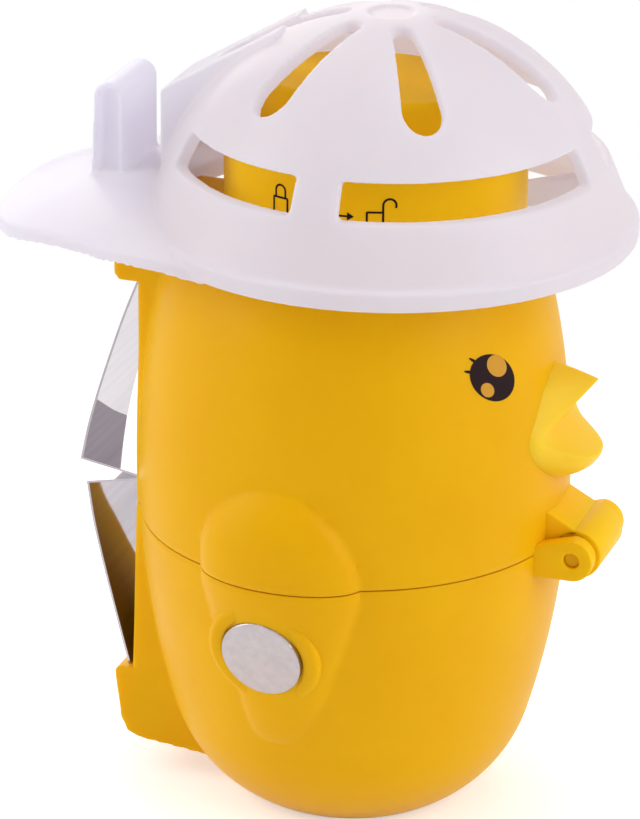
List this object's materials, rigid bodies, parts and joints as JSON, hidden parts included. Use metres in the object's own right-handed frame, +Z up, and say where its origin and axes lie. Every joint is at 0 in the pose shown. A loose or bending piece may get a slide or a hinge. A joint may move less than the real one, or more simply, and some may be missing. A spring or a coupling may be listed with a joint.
{
  "type": "egg opener",
  "caption": "Chick-shaped egg opener: two hinged halves with steel blades at the back, a locking knob on the head and a lift-off slotted egg-separator cap.",
  "frame": {"origin": "centre of the flat base that the chick stands on", "axes": "+X towards the beak and hinge, +Y to the chick's left, +Z up"},
  "size_m": [0.0901, 0.0698, 0.1167],
  "materials": {
    "shell_yellow": "fine satin gloss",
    "knob_yellow": "fine satin gloss",
    "beak_yellow": "satin",
    "deck_plastic": "matte",
    "cap_white": "milky translucent",
    "blade_steel": "mirror polished sheet",
    "screw_steel": "zinc plated",
    "plate_steel": "stamped",
    "spring_steel": "drawn wire",
    "magnet_nickel": "nickel plated",
    "washer_plastic": "matte"
  },
  "bodies": {
    "lower_half": {"lower_shell": "shell_yellow", "lower_deck": "deck_plastic", "lower_deck_screws": "screw_steel", "latch_plates": "plate_steel", "latch_plate_screws": "screw_steel", "lower_blade": "blade_steel", "lower_blade_screws": "screw_steel", "hinge_pin": "shell_yellow", "magnet_right": "magnet_nickel", "magnet_left": "magnet_nickel", "opening_spring": "spring_steel"},
    "upper_half": {"upper_shell": "shell_yellow", "upper_deck": "deck_plastic", "upper_deck_screws": "screw_steel", "upper_blade": "blade_steel", "upper_blade_screws": "screw_steel", "beak": "beak_yellow", "knob_bushing": "washer_plastic"},
    "lock": {"lock_knob": "knob_yellow", "knob_grip": "knob_yellow", "knob_washer": "washer_plastic", "lock_shaft": "plate_steel", "shaft_clip": "plate_steel", "latch_arm": "plate_steel", "latch_screw": "screw_steel"},
    "cap": {"cap_crown": "cap_white", "cap_posts": "cap_white", "cap_skirt": "cap_white", "cap_fins": "cap_white", "cap_visor": "cap_white", "cap_hump": "cap_white", "cap_hook": "cap_white"}
  },
  "joints": [
    {"name": "opening_hinge", "type": "hinge", "parent": "lower_half", "child": "upper_half", "pos_m": [0.03473, 0, 0.04215], "axis": [0, 1, 0], "range_deg": [0, 25], "deforming": ["opening_spring"]},
    {"name": "lock_turn", "type": "hinge", "parent": "upper_half", "child": "lock", "pos_m": [0.0026, 0, 0.09], "axis": [0, 0, -1], "range_deg": [0, 45]},
    {"name": "cap_lift", "type": "slide", "parent": "upper_half", "child": "cap", "axis": [0, 0, 1], "range_m": [0, 0.06]}
  ]
}
